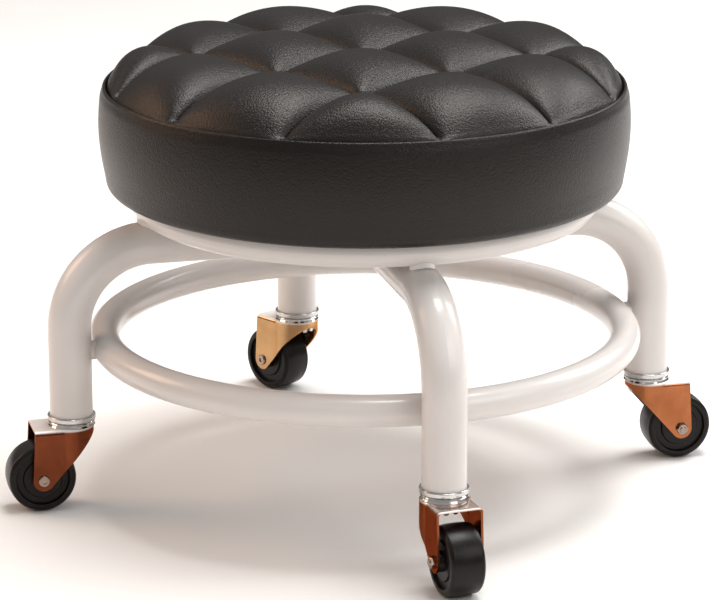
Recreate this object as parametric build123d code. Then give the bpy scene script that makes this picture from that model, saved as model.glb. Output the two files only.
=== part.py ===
from build123d import *

import os
from math import atan2, cos, degrees, radians, sin, sqrt

# Low round rolling stool: a tufted round cushion on a tubular steel frame with a
# foot ring and four swivel casters on threaded stems.
# Millimetres. Origin on the floor under the centre of the seat, +Z up.
# The legs stand on the X and Y axes: right is +X, back is +Y, left is -X, front is -Y.

# ---- driving dimensions: frame ----
LEG_D = 25.0
LEG_WALL = 1.5
LEG_AXIS_R = 175.5
LEG_BOTTOM_Z = 55.8
RUN_Z = 155.2
BEND_R = 48.5
RING_TUBE_D = 18.0
RING_WALL = 1.2
TOP_RING_R = 128.0
FOOT_RING_Z = 93.0
FOOT_RING_GAP = 1.0
COPE_LAND = 3.0
DRAIN_D = 4.0
TAB_WIDTH = 26.0
TAB_THICK = 3.0
TAB_INNER_R = 94.0
TAB_CORNER_R = 6.0
TAB_WELD_ANGLE = 11.0
TAB_WELD_SET_DOWN = 0.4
TOP_WELD_R = 7.0
TOP_WELD_HALF = 3.0
TOP_WELD_CORE_R = 1.0
FOOT_WELD_R = 5.5

# ---- driving dimensions: seat ----
BOARD_R = 145.0
BOARD_THICK = 12.0
WRAP_THICK = 1.0
WRAP_INNER_R = 112.0
DUST_COVER_R = 116.0
DUST_COVER_THICK = 0.8
SKIN = 1.2
SEAM_R = 149.6
SEAM_Z = 242.2
BAND_BULGE_R = 153.8
BAND_BULGE_Z = 215.0
BAND_LOW_R = 149.2
BAND_LOW_Z = 188.0
BAND_LIP_R = 144.2
BAND_LIP_Z = 182.8
CROWN_Z = 266.5
CROWN_FLAT_R = 104.0
CROWN_SHOULDER_R = 136.0
CROWN_SHOULDER_Z = 259.0
PANEL_THICK = 10.0
PANEL_TAPER = 2.0
BAND_ROLL_OUT = 0.3
BAND_ROLL_IN = 0.25
WRAP_CLEARANCE = 1.0
TUFT_PITCH = 50.0
TUFT_TURN = -13.5
TUFT_SHIFT = -5.0
TIE_R = 0.6
TIE_WASHER_R = 3.0
TIE_WASHER_THICK = 0.8
TIE_TOP_Z = 250.0

# ---- driving dimensions: seat fasteners ----
SCREW_R = 3.0
SCREW_HOLE_R = 3.3
SCREW_HEAD_R = 5.25
SCREW_HEAD_THICK = 3.3
SCREW_HEAD_ROUND = 2.0
SCREW_KEY_D = 4.0
SCREW_KEY_DEPTH = 1.8
SCREW_CIRCLE_R = 105.0
WASHER_R = 6.4
WASHER_THICK = 1.6
TEE_BARREL_R = 4.0
TEE_FLANGE_R = 9.5
TEE_FLANGE_THICK = 1.2
TEE_BARREL_LENGTH = 9.0
SCREW_ANGLES = (45, 135, 225, 315)
STAPLE_COUNT = 24
STAPLE_R = 114.0
STAPLE_CROWN = 10.0
STAPLE_WIRE = 0.7
STAPLE_LEG = 8.0
STAPLE_CLEAR_ANGLE = 10.0

# ---- driving dimensions: caster ----
WHEEL_R = 20.0
WHEEL_HALF = 10.0
TREAD_EDGE_R = 19.55
TREAD_EDGE_HALF = 7.2
SHOULDER_BULGE = 0.7
RIM_R = 16.8
RIM_INNER_R = 15.6
GROOVE_OUTER_R = 14.9
GROOVE_INNER_R = 11.6
WEB_R = 11.0
WEB_STEP = 1.0
TRAIL = 19.0
CHEEK_HALF = 13.5
NOSE_R = 14.2
NOSE_AHEAD = 12.7
NOSE_LOW_Z = 46.3
NOSE_FOLD_R = 0.8
SHEET = 1.3
FOLD_R = 2.8
FORK_REAR = 23.4
AXLE_EYE_R = 6.2
CUP_R = 14.0
CUP_EDGE_R = 0.6
CUP_THICK = 1.7
CUP_SKIRT_Z = 52.9
CUP_SKIRT_INNER_R = 12.6
RACE_R = 13.5
RACE_BASE_Z = 49.8
RACE_FLOOR_Z = 51.05
RACE_LIP_Z = 52.4
RACE_LIP_INNER_R = 11.3
RACE_LIP_SLOPE = 0.5
RACE_LIP_FLAT = 0.7
RACE_EDGE = 0.1
RACE_WAIST = 0.5
RACE_FLANGE = 0.2
RACE_SLEEVE_R = 10.4
RACE_SLEEVE_WALL = 1.2
TOOTH_COUNT = 12
TOOTH_R = 11.0
TOOTH_THICK = 1.4
TOOTH_WIDTH = 3.0
TOOTH_LOW_Z = 42.5
TOOTH_TIP_R = 0.9
BALL_R = 1.5
BALL_CIRCLE_R = 9.5
BALL_COUNT = 16
RUNNING_FIT = 0.05
WHEEL_SIDE_FIT = 0.4
NECK_R = 4.0
STEM_R = 5.0
STEM_TOP_Z = 82.0
STEM_LEAD_IN = 1.0
SOCKET_LENGTH = 30.0
RIVET_R = 6.2
RIVET_THICK = 2.0
RIVET_ROUND = 1.4
KING_WASHER_R = 8.6
KING_WASHER_THICK = 1.3
AXLE_R = 2.2
AXLE_HEAD_R = 3.3
AXLE_HEAD_THICK = 1.3
AXLE_HEAD_ROUND = 0.8
AXLE_DIMPLE_R = 1.5
AXLE_DIMPLE_DEPTH = 0.7
AXLE_PAST_NUT = 0.6
AXLE_NUT_FLATS = 6.4
AXLE_NUT_THICK = 2.4
AXLE_NUT_CAP = 0.56
AXLE_NUT_CHAMFER = 0.6
SLEEVE_R = 3.2
HUB_R = 5.5
HUB_TAPER = 0.5

# ---- which way each caster trails at rest, degrees about +Z from +X ----
CASTERS = {
    "right": (0, 0.5),
    "back": (90, 119.0),
    "left": (180, 180.0),
    "front": (270, 276.0),
}

# ---- worked out from the driving dimensions ----
LEG_R = LEG_D / 2
LEG_BORE_R = LEG_R - LEG_WALL
RING_R = RING_TUBE_D / 2
TOP_RING_Z = RUN_Z + LEG_R + RING_R
FOOT_RING_R = LEG_AXIS_R - LEG_R - FOOT_RING_GAP - RING_R
SEAT_Z = TOP_RING_Z + RING_R
TAB_TOP_Z = SEAT_Z - DUST_COVER_THICK
TAB_LOW_Z = TAB_TOP_Z - TAB_THICK
BOARD_Z = SEAT_Z + WRAP_THICK
BOARD_TOP_Z = BOARD_Z + BOARD_THICK
AXLE_Z = WHEEL_R
FORK_TOP_Z = RACE_BASE_Z
FORK_UNDER_Z = FORK_TOP_Z - SHEET
CHEEK_INNER = CHEEK_HALF - SHEET
HUB_HALF = CHEEK_INNER - WHEEL_SIDE_FIT
NOSE_CENTRE = NOSE_R - NOSE_AHEAD
EYE_REAR = TRAIL + AXLE_EYE_R
BALL_Z = RACE_FLOOR_Z + BALL_R + RUNNING_FIT / 2


def place(shape, x=0.0, y=0.0, z=0.0, turn=0.0):
    """Turn a shape about +Z, then move it."""
    return Pos(x, y, z) * Rot(0, 0, turn) * shape


def at_angle(shape, angle):
    """Turn a shape about the stool's vertical axis."""
    return Rot(0, 0, angle) * shape


def disc(radius, z_low, z_high, x=0.0, y=0.0):
    """Upright solid cylinder between two heights."""
    return Pos(x, y, z_low) * extrude(Circle(radius), amount=z_high - z_low)


def ring(outer_r, inner_r, z_low, z_high):
    """Upright cylinder with a bore, between two heights."""
    section = Circle(outer_r) - Circle(inner_r)
    return Pos(0, 0, z_low) * extrude(section, amount=z_high - z_low)


def turned(points):
    """Solid of revolution about +Z from a closed outline of (radius, height) points."""
    outline = Plane.XZ * make_face(Polyline(*points, close=True))
    return revolve(outline, axis=Axis.Z)


def along_y(shape):
    """Lay an upright shape along +Y."""
    return Rot(-90, 0, 0) * shape


def tuft_points():
    """Centres of the nine tufts, a square lattice turned under the seat's axes."""
    cells = [(i, j) for i in range(-2, 3) for j in range(-2, 3)]
    kept = [(i, j) for i, j in cells if (i + j) % 2 == 0 and abs(i) + abs(j) <= 2]
    c, s = cos(radians(TUFT_TURN)), sin(radians(TUFT_TURN))
    spots = [(i * TUFT_PITCH + TUFT_SHIFT, j * TUFT_PITCH) for i, j in kept]
    return [(c * x - s * y, s * x + c * y) for x, y in spots]


# ---- frame ----
def bent_tube(points):
    """Round leg tube along a path with one bend radius."""
    path = FilletPolyline(*points, radius=BEND_R)
    section = Plane(origin=path @ 0, z_dir=path % 0) * (Circle(LEG_R) - Circle(LEG_BORE_R))
    return sweep(section, path=path)


def cross_leg():
    """One continuous tube: left leg, run under the seat, right leg."""
    corners = [(-1, LEG_BOTTOM_Z), (-1, RUN_Z), (1, RUN_Z), (1, LEG_BOTTOM_Z)]
    return bent_tube([(side * LEG_AXIS_R, 0, z) for side, z in corners])


def half_leg():
    """Leg on +X whose run ends in a saddle on the tube that crosses it."""
    points = [(LEG_AXIS_R, 0, LEG_BOTTOM_Z), (LEG_AXIS_R, 0, RUN_Z), (COPE_LAND, 0, RUN_Z)]
    crossing = Pos(0, 0, RUN_Z) * along_y(Cylinder(LEG_R, 6 * LEG_R))
    return bent_tube(points) - crossing


def tube_ring(radius, z):
    """Horizontal ring of thin-walled round tube."""
    section = Circle(RING_R) - Circle(RING_R - RING_WALL)
    return revolve(Plane.XZ * Pos(radius, z) * section, axis=Axis.Z)


def solid_ring(radius, z):
    return revolve(Plane.XZ * Pos(radius, z) * Circle(RING_R), axis=Axis.Z)


def drained_ring(radius, z, drain_angle):
    """Tube ring with one drain hole in its underside."""
    drain = disc(DRAIN_D / 2, z - 2 * RING_R, z, radius)
    return tube_ring(radius, z) - at_angle(drain, drain_angle)


def ring_surface_r(radius, ring_z, z):
    """Radius of a ring's inner side at a height."""
    return radius - sqrt(RING_R**2 - (z - ring_z) ** 2)


def mounting_tabs():
    """Flat steel ears inside the seat ring, drilled for the seat screws."""
    meet_r = ring_surface_r(TOP_RING_R, TOP_RING_Z, TAB_LOW_Z)
    end = sqrt(meet_r**2 - (TAB_WIDTH / 2) ** 2) - 0.02
    length = end - TAB_INNER_R
    tab = Pos(TAB_INNER_R + length / 2, 0, TAB_LOW_Z + TAB_THICK / 2)
    tab = tab * Box(length, TAB_WIDTH, TAB_THICK)
    tab = fillet(tab.edges().filter_by(Axis.Z).group_by(Axis.X)[0], radius=TAB_CORNER_R)
    tab -= disc(SCREW_HOLE_R, TAB_LOW_Z, TAB_TOP_Z, SCREW_CIRCLE_R)
    return [at_angle(tab, angle) for angle in SCREW_ANGLES]


def tab_welds():
    """Weld beads in the groove between each ear and the seat ring."""
    low = (ring_surface_r(TOP_RING_R, TOP_RING_Z, TAB_LOW_Z), TAB_LOW_Z)
    high_z = TAB_TOP_Z - TAB_WELD_SET_DOWN
    high = (ring_surface_r(TOP_RING_R, TOP_RING_Z, high_z), high_z)
    middle_z = (TAB_LOW_Z + high_z) / 2
    middle = (ring_surface_r(TOP_RING_R, TOP_RING_Z, middle_z), middle_z)
    against = ThreePointArc(low, middle, high)
    top = Line(high, (low[0], high_z))
    outline = make_face(against + top + Line(top @ 1, low))
    bead = revolve(Plane.XZ * outline, axis=Axis.Z, revolution_arc=TAB_WELD_ANGLE)
    middle_angle = degrees(atan2(bead.center().Y, bead.center().X))
    return [at_angle(bead, angle - middle_angle) for angle in SCREW_ANGLES]


def leg_rod(angle):
    """Solid upright rod where a leg stands, to trim the welds against."""
    x, y = LEG_AXIS_R * cos(radians(angle)), LEG_AXIS_R * sin(radians(angle))
    return disc(LEG_R, LEG_BOTTOM_Z, RUN_Z, x, y)


def top_ring_welds():
    """Fillet welds where the seat ring sits on the four runs."""
    low, high = RUN_Z + LEG_R - TOP_WELD_HALF, RUN_Z + LEG_R + TOP_WELD_HALF
    run = Pos(TOP_RING_R, 0, RUN_Z) * Rot(0, 90, 0) * Cylinder(LEG_R, 4 * LEG_R)
    bead = disc(TOP_WELD_R, low, high, TOP_RING_R) - disc(TOP_WELD_CORE_R, low, high, TOP_RING_R)
    bead = bead - run - solid_ring(TOP_RING_R, TOP_RING_Z)
    return [at_angle(bead, angle) for angle, _ in CASTERS.values()]


def foot_ring_welds():
    """Welds that bridge the gap between the foot ring and each leg."""
    reach = FOOT_RING_R + RING_R + FOOT_RING_GAP / 2
    bead = Pos(reach, 0, FOOT_RING_Z) * Rot(0, 90, 0) * Cylinder(FOOT_WELD_R, 4 * FOOT_RING_GAP)
    bead = bead - leg_rod(0) - solid_ring(FOOT_RING_R, FOOT_RING_Z)
    return [at_angle(bead, angle) for angle, _ in CASTERS.values()]


# ---- seat ----
def seat_board():
    """Plywood disc, drilled for the tee nuts and the tuft ties."""
    board = disc(BOARD_R, BOARD_Z, BOARD_TOP_Z)
    for angle in SCREW_ANGLES:
        board -= at_angle(disc(TEE_BARREL_R, BOARD_Z, BOARD_TOP_Z, SCREW_CIRCLE_R), angle)
    for x, y in tuft_points():
        board -= disc(TIE_R, BOARD_Z, BOARD_TOP_Z, x, y)
    return board


def tee_nuts():
    """Tee nuts hammered into the board from above."""
    nut = disc(TEE_FLANGE_R, BOARD_TOP_Z, BOARD_TOP_Z + TEE_FLANGE_THICK, SCREW_CIRCLE_R)
    nut += disc(TEE_BARREL_R, BOARD_TOP_Z - TEE_BARREL_LENGTH, BOARD_TOP_Z, SCREW_CIRCLE_R)
    nut -= disc(SCREW_R, BOARD_Z, BOARD_TOP_Z + TEE_FLANGE_THICK, SCREW_CIRCLE_R)
    return [at_angle(nut, angle) for angle in SCREW_ANGLES]


def seat_washers():
    """Flat washers under the screw heads."""
    washer = disc(WASHER_R, TAB_LOW_Z - WASHER_THICK, TAB_LOW_Z, SCREW_CIRCLE_R)
    washer -= disc(SCREW_HOLE_R, TAB_LOW_Z - WASHER_THICK, TAB_LOW_Z, SCREW_CIRCLE_R)
    return [at_angle(washer, angle) for angle in SCREW_ANGLES]


def seat_screws():
    """Button-head screws up through the ears into the tee nuts."""
    head_top = TAB_LOW_Z - WASHER_THICK
    head_low = head_top - SCREW_HEAD_THICK
    head = disc(SCREW_HEAD_R, head_low, head_top, SCREW_CIRCLE_R)
    head = fillet(head.edges().group_by(Axis.Z)[0], radius=SCREW_HEAD_ROUND)
    shank = disc(SCREW_R, head_top, BOARD_TOP_Z, SCREW_CIRCLE_R)
    key = extrude(RegularPolygon(SCREW_KEY_D / 2, 6), amount=SCREW_KEY_DEPTH)
    key = Pos(SCREW_CIRCLE_R, 0, head_low) * key
    screw = head + shank - key
    return [at_angle(screw, angle) for angle in SCREW_ANGLES]


def foam_outline():
    """Half section of the foam: inside the band, on the board, under the panel."""
    crown = CROWN_Z - PANEL_THICK
    low = Line((0, BOARD_TOP_Z), (BAND_LOW_R - SKIN, BOARD_TOP_Z))
    side = ThreePointArc(
        low @ 1,
        (BAND_BULGE_R - SKIN, BAND_BULGE_Z),
        (SEAM_R - SKIN, SEAM_Z - PANEL_THICK),
    )
    top = ThreePointArc(
        side @ 1,
        (CROWN_SHOULDER_R - PANEL_TAPER, CROWN_SHOULDER_Z - PANEL_THICK),
        (CROWN_FLAT_R, crown),
    )
    flat = Line(top @ 1, (0, crown))
    return make_face(low + side + top + flat + Line(flat @ 1, low @ 0))


def foam_pad():
    """Cushion foam with pockets over the tee nuts and channels for the ties."""
    foam = revolve(Plane.XZ * foam_outline(), axis=Axis.Z)
    for angle in SCREW_ANGLES:
        pocket_top = BOARD_TOP_Z + TEE_FLANGE_THICK
        pocket = disc(TEE_FLANGE_R, BOARD_TOP_Z, pocket_top, SCREW_CIRCLE_R)
        foam -= at_angle(pocket, angle)
    for x, y in tuft_points():
        foam -= disc(TIE_R, BOARD_TOP_Z, TIE_TOP_Z, x, y)
    return foam


def top_panel():
    """Padded top panel, crowned, sewn to the side band along the seam."""
    crown = CROWN_Z - PANEL_THICK
    flat = Line((0, CROWN_Z), (CROWN_FLAT_R, CROWN_Z))
    outer = ThreePointArc(flat @ 1, (CROWN_SHOULDER_R, CROWN_SHOULDER_Z), (SEAM_R, SEAM_Z))
    edge = Line(outer @ 1, (SEAM_R - SKIN, SEAM_Z))
    drop = Line(edge @ 1, (SEAM_R - SKIN, SEAM_Z - PANEL_THICK))
    inner = ThreePointArc(
        drop @ 1,
        (CROWN_SHOULDER_R - PANEL_TAPER, CROWN_SHOULDER_Z - PANEL_THICK),
        (CROWN_FLAT_R, crown),
    )
    under = Line(inner @ 1, (0, crown))
    outline = make_face(flat + outer + edge + drop + inner + under + Line(under @ 1, flat @ 0))
    return revolve(Plane.XZ * outline, axis=Axis.Z)


def side_band():
    """Side cover: bulges at mid height, rolls under the board and lies on the ring."""
    lift = BAND_LOW_Z - BAND_LIP_Z
    roll_out, roll_in = BAND_ROLL_OUT * lift, BAND_ROLL_IN * lift
    on_ring_r = TOP_RING_R + RING_R + WRAP_CLEARANCE
    outer = ThreePointArc((SEAM_R, SEAM_Z), (BAND_BULGE_R, BAND_BULGE_Z), (BAND_LOW_R, BAND_LOW_Z))
    roll = ThreePointArc(
        outer @ 1,
        (BAND_LOW_R - roll_out, BAND_LIP_Z + roll_out),
        (BAND_LIP_R, BAND_LIP_Z),
    )
    turn_in = Line(roll @ 1, (on_ring_r, SEAT_Z))
    wrap = Line(turn_in @ 1, (WRAP_INNER_R, SEAT_Z))
    end = Line(wrap @ 1, (WRAP_INNER_R, BOARD_Z))
    back = Line(end @ 1, (on_ring_r + BAND_ROLL_IN, BOARD_Z))
    turn_out = Line(back @ 1, (BAND_LIP_R, BAND_LIP_Z + SKIN))
    unroll = ThreePointArc(
        turn_out @ 1,
        (BAND_LOW_R - SKIN - roll_out, BAND_LIP_Z + SKIN + roll_in),
        (BAND_LOW_R - SKIN, BAND_LOW_Z),
    )
    rise = Line(unroll @ 1, (BAND_LOW_R - SKIN, BOARD_TOP_Z))
    inner = ThreePointArc(
        rise @ 1,
        (BAND_BULGE_R - SKIN, BAND_BULGE_Z),
        (SEAM_R - SKIN, SEAM_Z - PANEL_THICK),
    )
    top = Line(inner @ 1, (SEAM_R - SKIN, SEAM_Z))
    edges = outer + roll + turn_in + wrap + end + back + turn_out + unroll + rise + inner
    outline = make_face(edges + top + Line(top @ 1, outer @ 0))
    return revolve(Plane.XZ * outline, axis=Axis.Z)


def dust_cover():
    """Non-woven disc that closes the underside of the seat, pierced by the screws."""
    cover = disc(DUST_COVER_R, TAB_TOP_Z, SEAT_Z)
    for angle in SCREW_ANGLES:
        cover -= at_angle(disc(SCREW_HOLE_R, TAB_TOP_Z, SEAT_Z, SCREW_CIRCLE_R), angle)
    return cover


def staples():
    """Wire staples through the dust cover and the wrapped cover into the board."""
    low = SEAT_Z - DUST_COVER_THICK - STAPLE_WIRE
    crown = Pos(STAPLE_R, 0, low + STAPLE_WIRE / 2) * Box(STAPLE_WIRE, STAPLE_CROWN, STAPLE_WIRE)
    for side in (-1, 1):
        y = side * (STAPLE_CROWN - STAPLE_WIRE) / 2
        crown += Pos(STAPLE_R, y, low + STAPLE_LEG / 2) * Box(STAPLE_WIRE, STAPLE_WIRE, STAPLE_LEG)
    spots = [(i + 0.5) * 360 / STAPLE_COUNT for i in range(STAPLE_COUNT)]
    return [at_angle(crown, spot) for spot in spots if abs(spot % 90 - 45) > STAPLE_CLEAR_ANGLE]


def tuft_ties():
    """Cords that pull the tufts down, each knotted on a washer under the board."""
    ties = []
    for x, y in tuft_points():
        washer = disc(TIE_WASHER_R, BOARD_Z - TIE_WASHER_THICK, BOARD_Z, x, y)
        ties.append(washer + disc(TIE_R, BOARD_Z, TIE_TOP_Z, x, y))
    return ties


# ---- caster, drawn with its stem on +Z and its wheel trailing towards +X ----
def stem_socket():
    """Plug fixed in the leg's end, with the bore that holds the stem."""
    return ring(LEG_BORE_R, STEM_R, LEG_BOTTOM_Z, LEG_BOTTOM_Z + SOCKET_LENGTH)


def stem():
    """Stem: shank in the socket, neck through the bearing, riveted end below."""
    washer_low = RACE_BASE_Z - RUNNING_FIT - KING_WASHER_THICK
    rivet = disc(RIVET_R, washer_low - RIVET_THICK, washer_low)
    rivet = fillet(rivet.edges().group_by(Axis.Z)[0], radius=RIVET_ROUND)
    shank = disc(STEM_R, LEG_BOTTOM_Z, STEM_TOP_Z)
    shank = chamfer(shank.edges().group_by(Axis.Z)[-1], STEM_LEAD_IN)
    return rivet + disc(NECK_R, washer_low, LEG_BOTTOM_Z) + shank


def king_washer():
    """Washer on the stem's neck that carries the fork."""
    top = RACE_BASE_Z - RUNNING_FIT
    return ring(KING_WASHER_R, NECK_R, top - KING_WASHER_THICK, top)


def bearing_cup():
    """Fixed upper cup, pressed steel, with a rolled edge and a short skirt."""
    ceiling = LEG_BOTTOM_Z - CUP_THICK
    cup = turned([
        (NECK_R, ceiling),
        (NECK_R, LEG_BOTTOM_Z),
        (CUP_R, LEG_BOTTOM_Z),
        (CUP_R, CUP_SKIRT_Z),
        (CUP_SKIRT_INNER_R, CUP_SKIRT_Z),
        (CUP_SKIRT_INNER_R, ceiling),
    ])
    rims = cup.edges().filter_by(GeomType.CIRCLE).filter_by(lambda e: abs(e.radius - CUP_R) < 0.01)
    return fillet(rims, radius=CUP_EDGE_R)


def race_ring():
    """Lower race: sits on the fork, its sleeve crimped into teeth that hang under the plate."""
    race = turned([
        (NECK_R + RUNNING_FIT, RACE_BASE_Z),
        (NECK_R + RUNNING_FIT, RACE_FLOOR_Z),
        (RACE_LIP_INNER_R, RACE_FLOOR_Z),
        (RACE_LIP_INNER_R + RACE_LIP_SLOPE, RACE_LIP_Z),
        (RACE_R - RACE_LIP_FLAT, RACE_LIP_Z),
        (RACE_R - RACE_EDGE, RACE_LIP_Z - RACE_LIP_FLAT),
        (RACE_R - RACE_WAIST, RACE_BASE_Z + 2 * RACE_WAIST),
        (RACE_R + RACE_FLANGE, RACE_BASE_Z),
    ])
    sleeve_low = FORK_UNDER_Z - RACE_SLEEVE_WALL
    race += ring(RACE_SLEEVE_R, RACE_SLEEVE_R - RACE_SLEEVE_WALL, sleeve_low, RACE_BASE_Z)
    length = FORK_UNDER_Z - TOOTH_LOW_Z
    tooth = Pos(TOOTH_R - TOOTH_THICK / 2, 0, FORK_UNDER_Z - length / 2)
    tooth = tooth * Box(TOOTH_THICK, TOOTH_WIDTH, length)
    tips = tooth.edges().filter_by(Axis.X).group_by(Axis.Z)[0]
    tooth = fillet(tips, radius=TOOTH_TIP_R)
    for i in range(TOOTH_COUNT):
        race += at_angle(tooth, (i + 0.5) * 360 / TOOTH_COUNT)
    return race


def balls():
    """Full set of balls between the cup and the race."""
    ball = Pos(BALL_CIRCLE_R, 0, BALL_Z) * Sphere(BALL_R)
    return [at_angle(ball, i * 360 / BALL_COUNT) for i in range(BALL_COUNT)]


def nose_drum(radius, top_z, fold_r):
    """Round front of the fork, from the axle eye's lowest point up to a height."""
    low = AXLE_Z - AXLE_EYE_R
    drum = disc(radius, low, top_z, NOSE_CENTRE)
    return fillet(drum.edges().group_by(Axis.Z)[-1], radius=fold_r)


def cheek_channel(half, rear, top_z, fold_r):
    """Straight rear of the fork: a box folded along both upper sides."""
    low = AXLE_Z - AXLE_EYE_R
    box = Pos(rear / 2, 0, (low + top_z) / 2) * Box(rear, 2 * half, top_z - low)
    folds = box.edges().filter_by(Axis.X).group_by(Axis.Z)[-1]
    return fillet(folds, radius=fold_r)


def fork():
    """Pressed fork: top plate, curved nose wall and two cheeks down to the axle."""
    block = nose_drum(NOSE_R, FORK_TOP_Z, NOSE_FOLD_R)
    block += cheek_channel(CHEEK_HALF, EYE_REAR, FORK_TOP_Z, FOLD_R)
    block -= nose_drum(NOSE_R - SHEET, FORK_UNDER_Z, NOSE_FOLD_R)
    block -= cheek_channel(CHEEK_INNER, EYE_REAR + SHEET, FORK_UNDER_Z, FOLD_R - SHEET)
    eye = Pos(TRAIL, AXLE_Z) * Circle(AXLE_EYE_R)
    brow_length = NOSE_AHEAD + FORK_REAR
    brow_height = FORK_TOP_Z - NOSE_LOW_Z
    brow = Pos(FORK_REAR - brow_length / 2, FORK_TOP_Z - brow_height / 2)
    brow = brow * Rectangle(brow_length, brow_height)
    side = make_hull(eye.edges() + brow.edges())
    side = Plane.XZ * side
    block = block & extrude(side, amount=2 * NOSE_R, both=True)
    block -= disc(RACE_SLEEVE_R, FORK_UNDER_Z, FORK_TOP_Z)
    block -= disc(TOOTH_R + RUNNING_FIT, TOOTH_LOW_Z, FORK_UNDER_Z)
    return block - Pos(TRAIL, 0, AXLE_Z) * along_y(Cylinder(AXLE_R, 4 * NOSE_R))


def axle():
    """Axle: rolled rivet head on one cheek, plain end through the nut on the other."""
    head_top = CHEEK_HALF + AXLE_HEAD_THICK
    shank = disc(AXLE_R, -CHEEK_HALF - AXLE_NUT_THICK - AXLE_PAST_NUT, CHEEK_HALF)
    shank = fillet(shank.edges().group_by(Axis.Z)[0], radius=AXLE_HEAD_ROUND)
    head = disc(AXLE_HEAD_R, CHEEK_HALF, head_top)
    head = fillet(head.edges().group_by(Axis.Z)[-1], radius=AXLE_HEAD_ROUND)
    dimple = disc(AXLE_DIMPLE_R, head_top - AXLE_DIMPLE_DEPTH, head_top)
    return Pos(TRAIL, 0, AXLE_Z) * along_y(shank + head - dimple)


def axle_nut():
    """Hexagon nut on the axle's plain end, corners rounded off."""
    nut = extrude(RegularPolygon(AXLE_NUT_FLATS / 2, 6, major_radius=False), AXLE_NUT_THICK)
    cap = disc(AXLE_NUT_FLATS * AXLE_NUT_CAP, 0, AXLE_NUT_THICK)
    nut = nut & chamfer(cap.edges().group_by(Axis.Z)[0], AXLE_NUT_CHAMFER)
    nut -= disc(AXLE_R, 0, AXLE_NUT_THICK)
    return Pos(TRAIL, 0, AXLE_Z) * along_y(Pos(0, 0, -CHEEK_HALF - AXLE_NUT_THICK) * nut)


def axle_sleeve():
    """Spacer tube clamped between the cheeks, on which the wheel turns."""
    return Pos(TRAIL, 0, AXLE_Z) * along_y(ring(SLEEVE_R, AXLE_R, -CHEEK_INNER, CHEEK_INNER))


def wheel():
    """One-piece wheel: crowned tread, round shoulders, stepped side faces and hub."""
    web_half = WHEEL_HALF - WEB_STEP
    groove_half = WHEEL_HALF - 2 * WEB_STEP
    side = [
        (SLEEVE_R + RUNNING_FIT, HUB_HALF),
        (HUB_R, HUB_HALF),
        (HUB_R + HUB_TAPER, web_half),
        (WEB_R, web_half),
        (GROOVE_INNER_R, groove_half),
        (GROOVE_OUTER_R, groove_half),
        (RIM_INNER_R, WHEEL_HALF),
        (RIM_R, WHEEL_HALF),
    ]
    upper = Polyline(*side)
    lower = Polyline(*[(r, -w) for r, w in side])
    bend_r = (RIM_R + TREAD_EDGE_R) / 2 + SHOULDER_BULGE
    bend_half = (WHEEL_HALF + TREAD_EDGE_HALF) / 2 + SHOULDER_BULGE
    round_top = ThreePointArc(upper @ 1, (bend_r, bend_half), (TREAD_EDGE_R, TREAD_EDGE_HALF))
    tread = ThreePointArc(round_top @ 1, (WHEEL_R, 0), (TREAD_EDGE_R, -TREAD_EDGE_HALF))
    round_low = ThreePointArc(tread @ 1, (bend_r, -bend_half), lower @ 1)
    bore = Line(upper @ 0, lower @ 0)
    outline = make_face(upper + round_top + tread + round_low + lower + bore)
    body = revolve(Plane.XZ * outline, axis=Axis.Z)
    return Pos(TRAIL, 0, AXLE_Z) * along_y(body)


def as_node(shape, name):
    """Write one node: a single solid, or a group of separate solids."""
    pieces = shape if isinstance(shape, list) else [shape]
    solids = [solid for piece in pieces for solid in piece.solids()]
    whole = Compound(children=solids) if len(solids) > 1 else solids[0]
    export_step(whole, os.path.join("parts", name + ".step"))


def frame_nodes():
    half = half_leg()
    return {
        "cross_leg_tube": cross_leg(),
        "front_leg_tube": at_angle(half, CASTERS["front"][0]),
        "back_leg_tube": at_angle(half, CASTERS["back"][0]),
        "top_ring": drained_ring(TOP_RING_R, TOP_RING_Z, 45),
        "foot_ring": drained_ring(FOOT_RING_R, FOOT_RING_Z, 45),
        "mounting_tabs": mounting_tabs(),
        "tab_welds": tab_welds(),
        "top_ring_welds": top_ring_welds(),
        "foot_ring_welds": foot_ring_welds(),
    }


def seat_nodes():
    return {
        "seat_board": seat_board(),
        "tee_nuts": tee_nuts(),
        "seat_screws": seat_screws(),
        "seat_washers": seat_washers(),
        "foam_pad": foam_pad(),
        "top_panel": top_panel(),
        "side_band": side_band(),
        "dust_cover": dust_cover(),
        "staples": staples(),
        "tuft_ties": tuft_ties(),
    }


def caster_nodes():
    """All four casters, each turned to its own trail direction."""
    single = {
        "stem": stem(),
        "bearing_cup": bearing_cup(),
        "race_ring": race_ring(),
        "balls": balls(),
        "fork": fork(),
        "axle": axle(),
        "axle_nut": axle_nut(),
        "axle_sleeve": axle_sleeve(),
        "wheel": wheel(),
    }
    shared = {"stem_sockets": stem_socket(), "king_washers": king_washer()}
    nodes = {name: [] for name in shared}
    for side, (leg_angle, trail_angle) in CASTERS.items():
        x = LEG_AXIS_R * cos(radians(leg_angle))
        y = LEG_AXIS_R * sin(radians(leg_angle))
        for name, shape in single.items():
            pieces = shape if isinstance(shape, list) else [shape]
            nodes[side + "_" + name] = [place(p, x, y, turn=trail_angle) for p in pieces]
        for name, shape in shared.items():
            nodes[name].append(place(shape, x, y))
    return nodes


os.makedirs("parts", exist_ok=True)
for node_name, node_shape in {**frame_nodes(), **seat_nodes(), **caster_nodes()}.items():
    as_node(node_shape, node_name)
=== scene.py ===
import math

import bmesh
import bpy
import numpy as np
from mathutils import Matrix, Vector, noise
from mathutils.geometry import delaunay_2d_cdt


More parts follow.
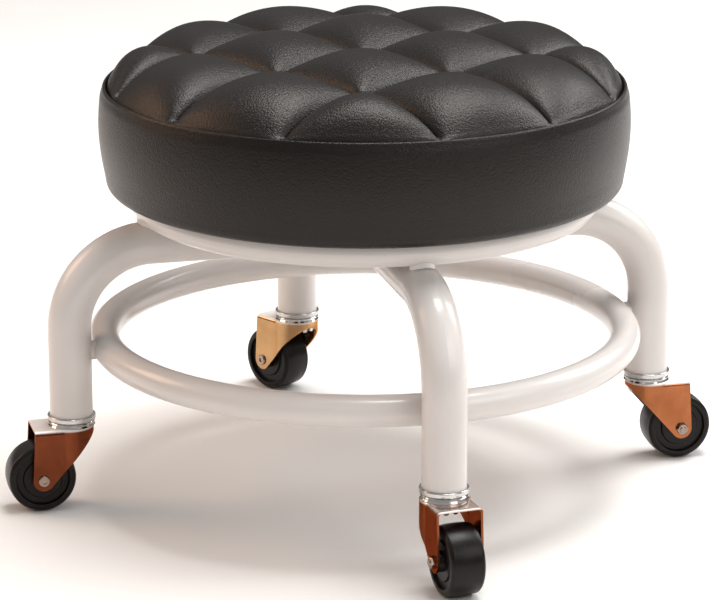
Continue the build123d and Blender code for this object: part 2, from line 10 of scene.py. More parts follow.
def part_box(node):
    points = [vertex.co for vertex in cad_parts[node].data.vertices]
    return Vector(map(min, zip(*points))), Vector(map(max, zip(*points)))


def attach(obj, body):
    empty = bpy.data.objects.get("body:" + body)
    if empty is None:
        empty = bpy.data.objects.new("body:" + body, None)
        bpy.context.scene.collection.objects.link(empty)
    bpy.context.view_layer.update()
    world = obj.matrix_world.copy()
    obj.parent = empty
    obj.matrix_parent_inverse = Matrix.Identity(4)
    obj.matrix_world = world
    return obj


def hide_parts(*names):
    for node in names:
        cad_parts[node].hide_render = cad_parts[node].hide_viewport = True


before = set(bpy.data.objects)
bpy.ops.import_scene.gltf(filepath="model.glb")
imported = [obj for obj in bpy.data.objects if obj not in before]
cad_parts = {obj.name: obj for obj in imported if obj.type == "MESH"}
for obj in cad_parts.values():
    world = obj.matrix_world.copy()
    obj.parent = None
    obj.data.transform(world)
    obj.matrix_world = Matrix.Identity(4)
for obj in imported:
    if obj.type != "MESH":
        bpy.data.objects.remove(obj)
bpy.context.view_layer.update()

# ---- places and sizes, in metres, from the frame ----
MM = 0.001
WRAP_THICK = 1.0 * MM
SEAM_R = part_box("top_panel")[1].x
BAND_LOW, BAND_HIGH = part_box("side_band")
SEAM_Z = BAND_HIGH.z
BULGE_R = BAND_HIGH.x
BAND_LOW_Z = BAND_LOW.z
BOARD_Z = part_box("seat_board")[0].z
SEAT_Z = BOARD_Z - WRAP_THICK
FOAM_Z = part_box("foam_pad")[0].z
PLATE_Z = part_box("front_fork")[1].z


# ---------------------------------------------------------------- small helpers
def new_object(name, mesh, material):
    """Link a mesh as a new, smoothly shaded object with one material or none."""
    obj = bpy.data.objects.new(name, mesh)
    bpy.context.scene.collection.objects.link(obj)
    if material:
        mesh.materials.append(material)
    mesh.polygons.foreach_set("use_smooth", [True] * len(mesh.polygons))
    return obj


def mesh_from(name, points, faces):
    """Mesh from points and faces."""
    mesh = bpy.data.meshes.new(name)
    mesh.from_pydata([tuple(p) for p in points], [], [tuple(f) for f in faces])
    mesh.validate()
    mesh.update()
    return mesh


def subdivide(obj, levels):
    """Smooth a piece with a subdivision surface."""
    modifier = obj.modifiers.new("subdivision", "SUBSURF")
    modifier.levels = levels
    modifier.render_levels = levels


def shell_between(name, flat, faces, upper, lower):
    """Closed solid between two heights over one net of faces."""
    count = len(flat)
    points = [(x, y, z) for (x, y), z in zip(flat, upper)]
    points += [(x, y, z) for (x, y), z in zip(flat, lower)]
    sides = set()
    for face in faces:
        sides.update(zip(face, face[1:] + face[:1]))
    walls = [(b, a, a + count, b + count) for a, b in sorted(sides) if (b, a) not in sides]
    under = [tuple(k + count for k in reversed(face)) for face in faces]
    return mesh_from(name, points, faces + under + walls)


# ---------------------------------------------------------------- materials
def start_material(name):
    """A new node material: its tree, its shader and object coordinates."""
    material = bpy.data.materials.new(name)
    material.use_nodes = True
    tree = material.node_tree
    shader = tree.nodes["Principled BSDF"]
    coords = tree.nodes.new("ShaderNodeTexCoord").outputs["Object"]
    return material, tree, shader, coords


def noise_node(tree, vector, scale, detail=3.0, rough=0.5):
    """Value of a noise texture, about 0 to 1."""
    node = tree.nodes.new("ShaderNodeTexNoise")
    node.inputs["Scale"].default_value = scale
    node.inputs["Detail"].default_value = detail
    node.inputs["Roughness"].default_value = rough
    tree.links.new(vector, node.inputs["Vector"])
    return node.outputs["Fac"]


def stretched(tree, vector, scale):
    """Coordinates scaled unevenly, for brushed and drawn surfaces."""
    node = tree.nodes.new("ShaderNodeMapping")
    node.inputs["Scale"].default_value = scale
    tree.links.new(vector, node.inputs["Vector"])
    return node.outputs["Vector"]


def ramp_colour(tree, value, stops):
    """Colour by value; stops are (position, (r, g, b))."""
    node = tree.nodes.new("ShaderNodeValToRGB")
    elements = node.color_ramp.elements
    while len(elements) < len(stops):
        elements.new(0.5)
    for element, (position, colour) in zip(elements, stops):
        element.position = position
        element.color = (*colour, 1)
    tree.links.new(value, node.inputs["Fac"])
    return node.outputs["Color"]


def spread(tree, value, low, high):
    """Remap 0..1 to low..high."""
    node = tree.nodes.new("ShaderNodeMapRange")
    node.inputs["To Min"].default_value = low
    node.inputs["To Max"].default_value = high
    tree.links.new(value, node.inputs["Value"])
    return node.outputs["Result"]


def add_bump(tree, shader, height, strength, distance):
    """Bump the shader's normal by a height, over a distance in metres."""
    node = tree.nodes.new("ShaderNodeBump")
    node.inputs["Strength"].default_value = strength
    node.inputs["Distance"].default_value = distance
    tree.links.new(height, node.inputs["Height"])
    tree.links.new(node.outputs["Normal"], shader.inputs["Normal"])


def paint_material():
    """Glossy white powder coat with faint orange peel, dimmed and tinted peach as painted bounce
    light from a wooden floor.
    """
    material, tree, shader, coords = start_material("white_powder_coat")
    cloud = noise_node(tree, coords, 9, 4)
    # Painted light: the off-white is dimmed and tinted peach to stand in for warm bounce from a
    # wooden floor. The noise only makes the tone wander.
    stops = [(0.3, (0.70, 0.650, 0.618)), (0.7, (0.75, 0.708, 0.680))]
    tone = ramp_colour(tree, cloud, stops)
    tree.links.new(tone, shader.inputs["Base Color"])
    tree.links.new(spread(tree, cloud, 0.24, 0.34), shader.inputs["Roughness"])
    shader.inputs["Coat Weight"].default_value = 0.35
    shader.inputs["Coat Roughness"].default_value = 0.12
    peel = noise_node(tree, coords, 420, 2)
    add_bump(tree, shader, peel, 0.12, 0.0002)
    return material


def metal_material(name, low, high, rough_low, rough_high, grain=(300, 300, 40), bump=0.05):
    """Bright metal with drawn grain, small stains and uneven gloss."""
    material, tree, shader, coords = start_material(name)
    shader.inputs["Metallic"].default_value = 1.0
    cloud = noise_node(tree, coords, 60, 4, 0.6)
    tree.links.new(ramp_colour(tree, cloud, [(0.35, low), (0.7, high)]), shader.inputs["Base Color"])
    lines = noise_node(tree, stretched(tree, coords, grain), 4, 3)
    tree.links.new(spread(tree, lines, rough_low, rough_high), shader.inputs["Roughness"])
    add_bump(tree, shader, lines, bump, 0.0002)
    return material


GRAIN_WARP = 0.0014
PEBBLES_PER_M = 820


def vinyl_material():
    """Near-black imitation leather: fine pebbles with creases between them."""
    material, tree, shader, coords = start_material("charcoal_imitation_leather")
    warp = noise_node(tree, coords, 240, 3)
    mix = tree.nodes.new("ShaderNodeMix")
    mix.data_type = "VECTOR"
    mix.inputs["Factor"].default_value = GRAIN_WARP
    tree.links.new(coords, mix.inputs["A"])
    tree.links.new(warp.node.outputs["Color"], mix.inputs["B"])
    pebbles = tree.nodes.new("ShaderNodeTexVoronoi")
    pebbles.feature = "SMOOTH_F1"
    pebbles.inputs["Scale"].default_value = PEBBLES_PER_M
    pebbles.inputs["Smoothness"].default_value = 0.6
    tree.links.new(mix.outputs["Result"], pebbles.inputs["Vector"])
    fine = noise_node(tree, coords, 2200, 3)
    height = tree.nodes.new("ShaderNodeMath")
    height.operation = "MULTIPLY_ADD"
    height.inputs[1].default_value = -1.0
    tree.links.new(pebbles.outputs["Distance"], height.inputs[0])
    tree.links.new(fine, height.inputs[2])
    tone_noise = noise_node(tree, coords, 26, 4)
    stops = [(0.3, (0.0036, 0.0025, 0.0021)), (0.7, (0.0058, 0.0042, 0.0036))]
    tone = ramp_colour(tree, tone_noise, stops)
    tree.links.new(tone, shader.inputs["Base Color"])
    tree.links.new(spread(tree, tone_noise, 0.29, 0.37), shader.inputs["Roughness"])
    shader.inputs["Specular IOR Level"].default_value = 0.36
    # Painted reflection: the slight warm tint of the reflections stands in for a reflected wooden
    # floor.
    shader.inputs["Specular Tint"].default_value = (1.0, 0.94, 0.90, 1)
    add_bump(tree, shader, height.outputs["Value"], 0.6, 0.0003)
    return material


def wheel_material():
    """Satin black moulded plastic with faint scuffs."""
    material, tree, shader, coords = start_material("black_wheel_plastic")
    scuff = noise_node(tree, coords, 150, 5, 0.65)
    stops = [(0.35, (0.0050, 0.0033, 0.0027)), (0.75, (0.0100, 0.0074, 0.0063))]
    tone = ramp_colour(tree, scuff, stops)
    tree.links.new(tone, shader.inputs["Base Color"])
    tree.links.new(spread(tree, scuff, 0.26, 0.40), shader.inputs["Roughness"])
    shader.inputs["Specular IOR Level"].default_value = 0.22
    add_bump(tree, shader, noise_node(tree, coords, 900, 2), 0.05, 0.0002)
    return material


# Painted reflection: the cheeks' warm tint stands in for a reflected wooden floor, and the top
# plate's near-white colour stands in for the reflected white tubes.
CHEEK_FLOOR_REFLECTION_TINT = (0.75, 0.36, 0.2, 1)
PLATE_TUBE_REFLECTION_COLOUR = (0.95, 0.92, 0.90, 1)
PLATE_REFLECTION_FADE = (1.6 * MM, 0.3 * MM)


def fork_material(name, low, high, plate_rough):
    """Plating with painted reflections: warm-brown cheeks stand in for a reflected wooden floor, and
    a near-white top plate stands in for the reflected white tubes.
    """
    material = metal_material(name, low, high, 0.14, 0.24, bump=0.03)
    tree = material.node_tree
    shader = tree.nodes["Principled BSDF"]
    shader.inputs["Metallic"].default_value = 0.9
    shader.inputs["Specular Tint"].default_value = CHEEK_FLOOR_REFLECTION_TINT
    cheek = shader.inputs["Base Color"].links[0].from_socket
    cheek_gloss = shader.inputs["Roughness"].links[0].from_socket
    coords = tree.nodes.new("ShaderNodeTexCoord").outputs["Object"]
    split = tree.nodes.new("ShaderNodeSeparateXYZ")
    tree.links.new(coords, split.inputs["Vector"])
    # Mask of the painted tube reflection, rising to 1 at the top of the plate.
    rise = tree.nodes.new("ShaderNodeMapRange")
    rise.inputs["From Min"].default_value = PLATE_Z - PLATE_REFLECTION_FADE[0]
    rise.inputs["From Max"].default_value = PLATE_Z - PLATE_REFLECTION_FADE[1]
    tree.links.new(split.outputs["Z"], rise.inputs["Value"])
    mix = tree.nodes.new("ShaderNodeMix")
    mix.data_type = "RGBA"
    tree.links.new(rise.outputs["Result"], mix.inputs["Factor"])
    tree.links.new(cheek, mix.inputs["A"])
    mix.inputs["B"].default_value = PLATE_TUBE_REFLECTION_COLOUR
    tree.links.new(mix.outputs["Result"], shader.inputs["Base Color"])
    gloss = tree.nodes.new("ShaderNodeMix")
    tree.links.new(rise.outputs["Result"], gloss.inputs["Factor"])
    tree.links.new(cheek_gloss, gloss.inputs["A"])
    gloss.inputs["B"].default_value = plate_rough
    tree.links.new(gloss.outputs["Result"], shader.inputs["Roughness"])
    return material


PLAIN_ROUGH_SPREAD = 0.06


def plain_material(name, low, high, scale, rough, bump=0.2, stretch=None):
    """Matt material whose colour wanders between two tones."""
    material, tree, shader, coords = start_material(name)
    vector = stretched(tree, coords, stretch) if stretch else coords
    field = noise_node(tree, vector, scale, 5, 0.6)
    tree.links.new(ramp_colour(tree, field, [(0.3, low), (0.7, high)]), shader.inputs["Base Color"])
    gloss = spread(tree, field, rough - PLAIN_ROUGH_SPREAD, rough + PLAIN_ROUGH_SPREAD)
    tree.links.new(gloss, shader.inputs["Roughness"])
    add_bump(tree, shader, field, bump, 0.0004)
    return material


PAINT = paint_material()
CHROME = metal_material("bright_chrome", (0.50, 0.49, 0.48), (0.66, 0.65, 0.64), 0.06, 0.14)
# Painted reflection: the plated axle heads are tinted warm brown, standing in for a reflected wooden
# floor.
AXLE = metal_material("axle_plate", (0.28, 0.21, 0.17), (0.44, 0.36, 0.30), 0.14, 0.26)
# Painted light: one plating in four copies, each caster's fork tinted darker, warmer or lighter as
# light and reflections fell on it.
LEFT_FORK_PAINTED_LIGHT = fork_material("plated_fork_left", (0.14, 0.037, 0.015), (0.20, 0.054, 0.023), 0.62)
FRONT_FORK_PAINTED_LIGHT = fork_material("plated_fork_front", (0.21, 0.064, 0.027), (0.28, 0.090, 0.039), 0.16)
RIGHT_FORK_PAINTED_LIGHT = fork_material("plated_fork_right", (0.31, 0.105, 0.041), (0.42, 0.150, 0.062), 0.62)
BACK_FORK_PAINTED_LIGHT = fork_material("plated_fork_back", (0.42, 0.25, 0.12), (0.55, 0.34, 0.17), 0.62)
ZINC = metal_material("zinc_plate", (0.50, 0.50, 0.49), (0.66, 0.65, 0.62), 0.30, 0.42, (90, 90, 90))
VINYL = vinyl_material()
WHEEL = wheel_material()
PLY = plain_material("plywood", (0.42, 0.27, 0.15), (0.60, 0.42, 0.26), 3, 0.7, stretch=(6, 60, 300))
DUST = plain_material("dust_cloth", (0.012, 0.012, 0.012), (0.03, 0.03, 0.03), 900, 0.9)
FOAM = plain_material("cushion_foam", (0.70, 0.62, 0.42), (0.82, 0.75, 0.56), 700, 0.9)
NYLON = plain_material("black_nylon", (0.012, 0.012, 0.012), (0.02, 0.02, 0.02), 300, 0.5, 0.05)
CORD = plain_material("tie_cord", (0.02, 0.02, 0.02), (0.05, 0.05, 0.05), 1500, 0.8)

# A node takes the first entry whose key is in its name.
NODE_MATERIALS = {
    "tube": PAINT,
    "ring_welds": PAINT,
    "top_ring": PAINT,
    "foot_ring": PAINT,
    "mounting_tabs": PAINT,
    "tab_welds": PAINT,
    "seat_board": PLY,
    "tee_nuts": ZINC,
    "seat_screws": ZINC,
    "seat_washers": ZINC,
    "staples": ZINC,
    "king_washers": ZINC,
    "dust_cover": DUST,
    "tuft_ties": CORD,
    "stem_sockets": NYLON,
    "_stem": ZINC,
    "bearing_cup": CHROME,
    "race_ring": CHROME,
    "left_fork": LEFT_FORK_PAINTED_LIGHT,
    "front_fork": FRONT_FORK_PAINTED_LIGHT,
    "right_fork": RIGHT_FORK_PAINTED_LIGHT,
    "back_fork": BACK_FORK_PAINTED_LIGHT,
    "axle_sleeve": ZINC,
    "axle_nut": AXLE,
    "_axle": AXLE,
    "_balls": ZINC,
    "_wheel": WHEEL,
    "foam_pad": FOAM,
    "top_panel": VINYL,
    "side_band": VINYL,
}


def dress_cad_nodes():
    """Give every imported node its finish."""
    for name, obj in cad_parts.items():
        material = next(m for key, m in NODE_MATERIALS.items() if key in name)
        obj.data.materials.clear()
        obj.data.materials.append(material)


# ---------------------------------------------------------------- cushion
# Nine tufts on a square lattice, turned and moved a little from the legs' cross.
TUFT_PITCH = 49 * MM
TUFT_TURN = math.radians(-14.8)
TUFT_SHIFT = (-0.6 * MM, 1.7 * MM)


def lattice(x, y):
    """Crease coordinates: whole numbers of a or b are creases, both whole is a tuft."""
    c, s = math.cos(TUFT_TURN), math.sin(TUFT_TURN)
    p = c * x + s * y - TUFT_SHIFT[0]
    q = -s * x + c * y - TUFT_SHIFT[1]
    return (p + q) / (2 * TUFT_PITCH), (p - q) / (2 * TUFT_PITCH)


def from_lattice(a, b):
    """The place of lattice coordinates, the reverse of lattice()."""
    c, s = math.cos(TUFT_TURN), math.sin(TUFT_TURN)
    p = (a + b) * TUFT_PITCH + TUFT_SHIFT[0]
    q = (a - b) * TUFT_PITCH + TUFT_SHIFT[1]
    return c * p - s * q, s * p + c * q


# Creases run both ways at -1, 0 and 1 of the lattice, and the pillows outside them reach the rim.
LAST_CREASE = 1
CREASE_BASE = 13.8 * MM
CREASE_FALL = 8.0
CREASE_INSET = 4 * MM
# How far the pillows rise over the creases, and the roundness of their sections.
INNER_PILLOW = 15.0 * MM
EDGE_PILLOW = 11.8 * MM
CORNER_PILLOW = 16.4 * MM
PILLOW_FLAT = 1.76
PILLOW_ROUND = 0.61
EDGE_ROUND = 0.68
EDGE_WIDTH = 32 * MM
# Pits at the tufts and sharp folds along the creases. Their sum stops above the ties' ends.
TUFT_DEEP = 3.4 * MM
TUFT_WIDE = 3.6 * MM
TUFT_FADE = 20 * MM
FOLD_DEEP = 2.6 * MM
FOLD_WIDE = 1.1 * MM
FOLD_FADE = 6 * MM
MOST_PULL = 5.0 * MM
# Small pleats that radiate from each tuft.
PLEAT = 0.35 * MM
PLEATS_ROUND = 14
PLEAT_R = 9 * MM
PLEAT_WIDE = 6 * MM
# The cover's edge, tucked down inside the band's lip.
PANEL_R = SEAM_R - 1.0 * MM
TUCK = 2.4 * MM
TUCK_WIDTH = 2.2 * MM
COVER_THICK = 1.2 * MM


def crease_profile(a):
    """0 on a crease, 1 half way to the next one, and the distance to the crease in lattice units."""
    crease = np.clip(np.round(a), -LAST_CREASE, LAST_CREASE)
    away = np.minimum(np.abs(a - crease), 0.5)
    return (1 - (1 - 2 * away) ** PILLOW_FLAT + 1e-6) ** PILLOW_ROUND, a - crease


def bell(distance, width):
    """1 at no distance, fading out over a few widths."""
    return np.exp(-((distance / width) ** 2))


def quilt_height(x, y, fullness=1.0):
    """Height of the quilted top over the seam, for arrays of x and y."""
    r = np.hypot(x, y)
    inside = SEAM_R - r
    a, b = lattice(x, y)
    across_a, da = crease_profile(a)
    across_b, db = crease_profile(b)
    bulge = 1 / (1 / across_a + 1 / across_b - 1)
    outer_a = np.abs(a) > LAST_CREASE
    outer_b = np.abs(b) > LAST_CREASE
    pillow = np.where(outer_a | outer_b, EDGE_PILLOW, INNER_PILLOW)
    pillow = np.where(outer_a & outer_b, CORNER_PILLOW, pillow)
    rim = np.sin(np.clip(inside / EDGE_WIDTH, 0, 1) * np.pi / 2) ** EDGE_ROUND
    base = CREASE_BASE * np.clip(1 - (r / (SEAM_R - CREASE_INSET)) ** CREASE_FALL, 0, 1)
    spacing = TUFT_PITCH * math.sqrt(2)
    to_tuft = np.hypot(da, db) * spacing
    to_crease = np.minimum(np.abs(da), np.abs(db)) * spacing
    from_rim = np.clip(inside / TUFT_FADE, 0, 1)
    pit = TUFT_DEEP * bell(to_tuft, TUFT_WIDE) * from_rim
    fold = FOLD_DEEP * bell(to_crease, FOLD_WIDE) * np.clip(inside / FOLD_FADE, 0, 1)
    pull = np.minimum(pit + fold, MOST_PULL)
    pleats = np.cos(PLEATS_ROUND * np.arctan2(db, da)) * bell(to_tuft - PLEAT_R, PLEAT_WIDE)
    tuck = TUCK * np.clip((r - PANEL_R + TUCK_WIDTH) / TUCK_WIDTH, 0, 1) ** 2
    return base + fullness * pillow * bulge * rim - pull + PLEAT * pleats * from_rim * bulge - tuck


# Lattice cells that cover the seat, the gap that the net's grid leaves to its rings as a part of
# the widest inset, and the angles within which two triangles are joined.
LATTICE_CELLS = range(-3, 3)
RIM_GAP = 1.25
FLAT_JOIN = 0.7


def quilt_net(steps, around, insets):
    """Flat net of the top whose edges follow every crease and the rim: points and faces.

    steps are the places of the net's lines from a crease to half way to the next, and insets are
    the distances of its rings from the rim.
    """
    cell = steps + [1 - s for s in reversed(steps[1:-1])]
    lines = sorted({round(k + s, 4) for k in LATTICE_CELLS for s in cell})
    aa, bb = np.meshgrid(lines, lines, indexing="ij")
    xx, yy = from_lattice(aa, bb)
    keep = np.hypot(xx, yy) < PANEL_R - RIM_GAP * max(insets)
    points = [Vector((x, y)) for x, y in zip(xx[keep], yy[keep])]
    index = -np.ones(aa.shape, int)
    index[keep] = np.arange(len(points))
    edges = []
    for i, line in enumerate(lines):
        if abs(line) > LAST_CREASE or line != round(line):
            continue
        for row in (index[i, :], index[:, i]):
            row = [int(k) for k in row if k >= 0]
            edges += list(zip(row[:-1], row[1:]))
    for inset in insets:
        first = len(points)
        for i in range(around):
            t = 2 * math.pi * i / around
            r = PANEL_R - inset
            points.append(Vector((r * math.cos(t), r * math.sin(t))))
    edges += [(first + i, first + (i + 1) % around) for i in range(around)]
    verts, _, faces, *_ = delaunay_2d_cdt(points, edges, [], 1, 1e-7)
    mesh = mesh_from("net", [(v.x, v.y, 0) for v in verts], faces)
    work = bmesh.new()
    work.from_mesh(mesh)
    bmesh.ops.join_triangles(
        work, faces=work.faces, angle_face_threshold=FLAT_JOIN, angle_shape_threshold=FLAT_JOIN
    )
    bmesh.ops.recalc_face_normals(work, faces=work.faces)
    if sum(f.normal.z for f in work.faces) < 0:
        bmesh.ops.reverse_faces(work, faces=work.faces)
    work.to_mesh(mesh)
    work.free()
    flat = np.array([(v.co.x, v.co.y) for v in mesh.vertices])
    return flat, [tuple(p.vertices) for p in mesh.polygons]


# The net is dense and held along its creases, so it needs a high pressure and a light cloth.
SIM_FRAMES = 20
SIM_PRESSURE = 2500.0
SIM_MOST = 2.0 * MM
SIM_FULLNESS = 0.93
SIM_MASS = 0.02
SIM_FREE = 1.6
SIM_RIM = 8 * MM


def blown_cover(flat, faces):
    """Points of the cover after cloth pressure fills the pillows from a slacker start.

    The creases and the rim are held, and no point moves more than SIM_MOST.
    """
    start = np.column_stack([flat, SEAM_Z + quilt_height(flat[:, 0], flat[:, 1], SIM_FULLNESS)])
    obj = new_object("cover_cloth", mesh_from("cover_cloth", start, faces), None)
    a, b = lattice(flat[:, 0], flat[:, 1])
    free = np.minimum(crease_profile(a)[0], crease_profile(b)[0])
    rim = np.clip((PANEL_R - np.hypot(flat[:, 0], flat[:, 1])) / SIM_RIM, 0, 1)
    hold = 1 - np.clip(free * SIM_FREE, 0, 1) * rim
    group = obj.vertex_groups.new(name="held")
    for i, weight in enumerate(hold):
        group.add([i], float(weight), "REPLACE")
    cloth = obj.modifiers.new("cloth", "CLOTH")
    cloth.settings.vertex_group_mass = "held"
    cloth.settings.use_pressure = True
    cloth.settings.uniform_pressure_force = SIM_PRESSURE
    cloth.settings.mass = SIM_MASS
    cloth.settings.effector_weights.gravity = 0
    cloth.collision_settings.use_collision = False
    cloth.point_cache.frame_start = 1
    cloth.point_cache.frame_end = SIM_FRAMES
    for number in range(1, SIM_FRAMES + 1):
        bpy.context.scene.frame_set(number)
    graph = bpy.context.evaluated_depsgraph_get()
    blown = bpy.data.meshes.new_from_object(obj.evaluated_get(graph))
    end = np.array([v.co for v in blown.vertices])
    bpy.context.scene.frame_set(1)
    bpy.data.objects.remove(obj)
    move = end - start
    length = np.maximum(np.linalg.norm(move, axis=1), 1e-9)
    move *= np.minimum(1, SIM_MOST / length)[:, None]
    return start + move


COVER_STEPS = [
    0, 0.006, 0.014, 0.034, 0.062, 0.1, 0.14, 0.18, 0.22, 0.26, 0.30, 0.34, 0.38, 0.42, 0.46, 0.5
]
COVER_AROUND = 384
COVER_INSETS = [3.6 * MM, 2.4 * MM, 1.5 * MM, 0.7 * MM, 0.0]


def quilted_top():
    """The tufted cover of the top: a closed sheet, blown out by cloth pressure."""
    flat, faces = quilt_net(COVER_STEPS, COVER_AROUND, COVER_INSETS)
    place = blown_cover(flat, faces)
    flat, height = place[:, :2], place[:, 2]
    mesh = shell_between("quilted_top", flat, faces, height, height - COVER_THICK)
    obj = new_object("quilted_top", mesh, VINYL)
    subdivide(obj, 1)
    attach(obj, "stool_frame")
    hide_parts("top_panel")


FOAM_STEPS = [0, 0.06, 0.14, 0.24, 0.36, 0.5]
FOAM_AROUND = 180
FOAM_INSETS = [3.0 * MM, 0.0]
FOAM_UNDER = 2.2 * COVER_THICK
FOAM_INSET = 2.0 * MM


def foam_core():
    """The foam under the cover, hollowed where the tufts pull it down."""
    flat, faces = quilt_net(FOAM_STEPS, FOAM_AROUND, FOAM_INSETS)
    height = SEAM_Z + quilt_height(flat[:, 0], flat[:, 1]) - FOAM_UNDER
    flat = flat * (1 - FOAM_INSET / PANEL_R)
    mesh = shell_between("tufted_foam", flat, faces, height, np.full(len(flat), FOAM_Z))
    obj = new_object("tufted_foam", mesh, FOAM)
    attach(obj, "stool_frame")
    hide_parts("foam_pad")


# LIP_INSIDE and LIP_ROUND are mm outward from the seam circle and up from the lip's top. UNDER_EDGE
# is mm inward from the side's lowest point, mm up from a level, and that level.
LIP_RISE = 1.0 * MM
LIP_OUT = 2.0 * MM
LIP_DROP = 3.0 * MM
LIP_INSIDE = [(-1.3, -4.0), (-0.8, -2.2)]
LIP_ROUND = [(-0.2, -0.5), (0.5, 0.0), (1.3, -0.45), (1.8, -1.5), (2.0, -3.0)]
SIDE_STEPS = 21
SIDE_LEAN = 1.4 * MM
SWELL_LESS = 1.5 * MM
SWELL_START = 0.06
SWELL_SKEW = 0.9
TURN_R = 6.0 * MM
TURN_STEPS = 8
UNDER_EDGE = [
    (8.5, 0.3, BAND_LOW_Z),
    (11.0, -0.2, SEAT_Z),
    (13.0, 0.05, SEAT_Z),
    (26.0, 0.1, SEAT_Z),
    (40.0, 0.1, SEAT_Z),
    (40.0, -0.05, BOARD_Z),
    (8.0, -0.05, BOARD_Z),
]
INSIDE_LOW_Z = BAND_LOW_Z + 4.5 * MM
INSIDE_HIGH_Z = SEAM_Z - 6.0 * MM
INSIDE_STEPS = 10
INSIDE_OUT = 0.2 * MM


def band_profile():
    """Closed outline of the side band: over its lip, down, under the board, and back inside."""
    lip_z = SEAM_Z + LIP_RISE
    points = [(SEAM_R + r * MM, lip_z + z * MM) for r, z in LIP_INSIDE + LIP_ROUND]
    top_z = lip_z - LIP_DROP
    low_z = BAND_LOW_Z + TURN_R
    for i in range(1, SIDE_STEPS + 1):
        t = i / SIDE_STEPS
        swell = math.sin(math.pi * min(1, SWELL_START + (1 - SWELL_START) * t) ** SWELL_SKEW)
        r = SEAM_R + LIP_OUT - SIDE_LEAN * t + (BULGE_R - SEAM_R - SWELL_LESS) * swell
        points.append((r, top_z + (low_z - top_z) * t))
    r_low, z_low = points[-1]
    for i in range(1, TURN_STEPS + 1):
        t = math.pi / 2 * i / TURN_STEPS
        points.append((r_low - TURN_R * (1 - math.cos(t)), z_low - TURN_R * math.sin(t)))
    points += [(r_low - r * MM, level + z * MM) for r, z, level in UNDER_EDGE]
    for i in range(INSIDE_STEPS + 1):
        t = i / INSIDE_STEPS
        z = INSIDE_LOW_Z + (INSIDE_HIGH_Z - INSIDE_LOW_Z) * t
        points.append((SEAM_R + INSIDE_OUT - SIDE_LEAN * t, z))
    return points


BAND_AROUND = 396
# Slow waves in the side's outer face.
SOFT = 0.35 * MM
SOFT_FROM = 1.6 * MM
SOFT_NOISE = 2.2
SOFT_NOISE_Z = 30
# Pleats in the turned-under part, unevenly spaced.
UNDER_PLEATS = 44
UNDER_PLEAT = 0.3 * MM
UNDER_WANDER = 0.6
UNDER_NOISE = 3
UNDER_NOISE_Z = 4
UNDER_INSET = 6 * MM
LEVEL_GAP = 0.1 * MM


def side_band():
    """The wrapped side of the cushion, gathered in small pleats under the board."""
    profile = band_profile()
    points, faces = [], []
    for i in range(BAND_AROUND):
        t = 2 * math.pi * i / BAND_AROUND
        x, y = math.cos(t), math.sin(t)
        wander = noise.noise(Vector((UNDER_NOISE * x, UNDER_NOISE * y, UNDER_NOISE_Z)))
        gather = abs(math.sin(UNDER_PLEATS / 2 * t + UNDER_WANDER * wander))
        for r, z in profile:
            soft = noise.noise(Vector((x * SOFT_NOISE, y * SOFT_NOISE, z * SOFT_NOISE_Z)))
            outside = SEAM_R + SOFT_FROM < r
            level = SEAT_Z - LEVEL_GAP < z < BOARD_Z - LEVEL_GAP
            under = level and r < SEAM_R - UNDER_INSET
            r_here = r + (SOFT * soft if outside else 0)
            z_here = z - (UNDER_PLEAT * (1 - gather) if under else 0)
            points.append((r_here * x, r_here * y, z_here))
    n = len(profile)
    for i in range(BAND_AROUND):
        a, b = i * n, ((i + 1) % BAND_AROUND) * n
        for j in range(n):
            k = (j + 1) % n
            faces.append((a + j, a + k, b + k, b + j))
    obj = new_object("cushion_side_band", mesh_from("cushion_side_band", points, faces), VINYL)
    subdivide(obj, 1)
    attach(obj, "stool_frame")
    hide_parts("side_band")


# ---------------------------------------------------------------- stage, light, camera
FLOOR_SIZE = 14
WORLD_LOW = (0.12, (0.12, 0.115, 0.11))
WORLD_HIGH = (0.5, (0.48, 0.475, 0.47))


def add_area(name, place, target, size, power, colour):
    """Softbox that faces a target."""
    light = bpy.data.lights.new(name, "AREA")
    light.shape = "RECTANGLE"
    light.size, light.size_y = size
    light.energy = power
    light.color = colour
    obj = bpy.data.objects.new(name, light)
    bpy.context.scene.collection.objects.link(obj)
    obj.location = place
    obj.rotation_euler = (Vector(target) - Vector(place)).to_track_quat("-Z", "Y").to_euler()


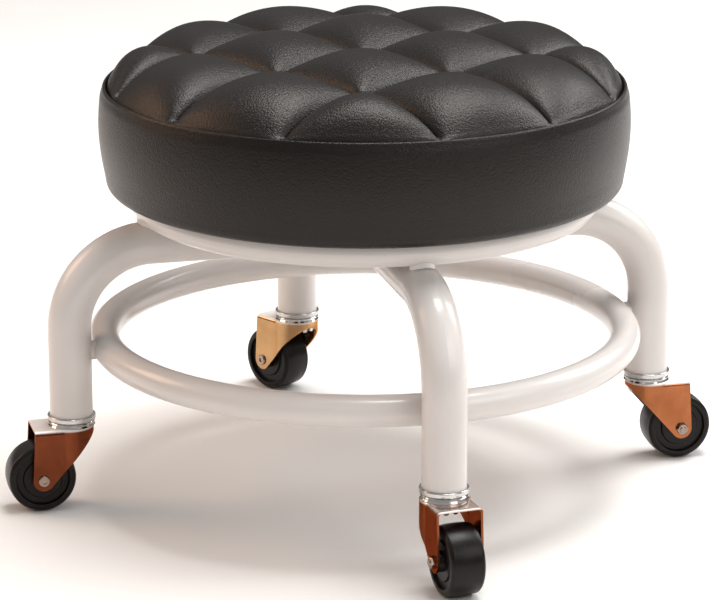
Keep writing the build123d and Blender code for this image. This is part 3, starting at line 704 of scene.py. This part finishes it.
def stage():
    """Pale floor, a world that is darker near its horizon, and four softboxes."""
    bpy.ops.mesh.primitive_grid_add(
        size=FLOOR_SIZE, x_subdivisions=FLOOR_SIZE, y_subdivisions=FLOOR_SIZE
    )
    floor = bpy.context.object
    floor.name = "studio_floor"
    floor.data.materials.append(
        plain_material("pale_floor", (0.86, 0.84, 0.82), (0.90, 0.885, 0.87), 3, 0.75, 0.02)
    )
    world = bpy.data.worlds.new("studio")
    bpy.context.scene.world = world
    world.use_nodes = True
    tree = world.node_tree
    split = tree.nodes.new("ShaderNodeSeparateXYZ")
    tree.links.new(tree.nodes.new("ShaderNodeTexCoord").outputs["Generated"], split.inputs["Vector"])
    glow = ramp_colour(tree, split.outputs["Z"], [WORLD_LOW, WORLD_HIGH])
    tree.links.new(glow, tree.nodes["Background"].inputs["Color"])
    add_area("overhead", (0.4, 0.1, 2.5), (0.05, 0, 0.25), (1.2, 1.2), 54, (1.0, 0.99, 0.98))
    add_area("key", (1.0, -1.5, 1.2), (0, 0, 0.15), (1.2, 0.9), 8, (1.0, 0.985, 0.975))
    add_area("right", (1.6, 0.5, 1.3), (0, 0, 0.2), (0.9, 0.9), 18, (1.0, 1.0, 1.0))
    add_area("warm_left", (-1.4, 0.7, 1.0), (0, 0, 0.2), (0.8, 0.7), 8, (1.0, 0.60, 0.36))


CAMERA_TURN = math.radians(-14.26)
CAMERA_LIFT = math.radians(16.11)
CAMERA_AWAY = 2.0148
CAMERA_TARGET = Vector((0, 0, 0.1208))
CAMERA_LENS = 173.32
CAMERA_SHIFT = (-0.0115, -0.0217)


def camera():
    """Camera where the object was seen from: in front, a little to the left, from above."""
    across = math.cos(CAMERA_LIFT)
    back = Vector(
        (math.sin(CAMERA_TURN) * across, -math.cos(CAMERA_TURN) * across, math.sin(CAMERA_LIFT))
    )
    data = bpy.data.cameras.new("camera")
    data.sensor_width = 36
    data.lens = CAMERA_LENS
    data.shift_x, data.shift_y = CAMERA_SHIFT
    data.clip_end = 50
    obj = bpy.data.objects.new("camera", data)
    bpy.context.scene.collection.objects.link(obj)
    obj.location = CAMERA_TARGET + back * CAMERA_AWAY
    obj.rotation_euler = (-back).to_track_quat("-Z", "Y").to_euler()
    bpy.context.scene.camera = obj


camera()
stage()
dress_cad_nodes()
quilted_top()
foam_core()
side_band()

bpy.context.scene.view_settings.view_transform = "Standard"
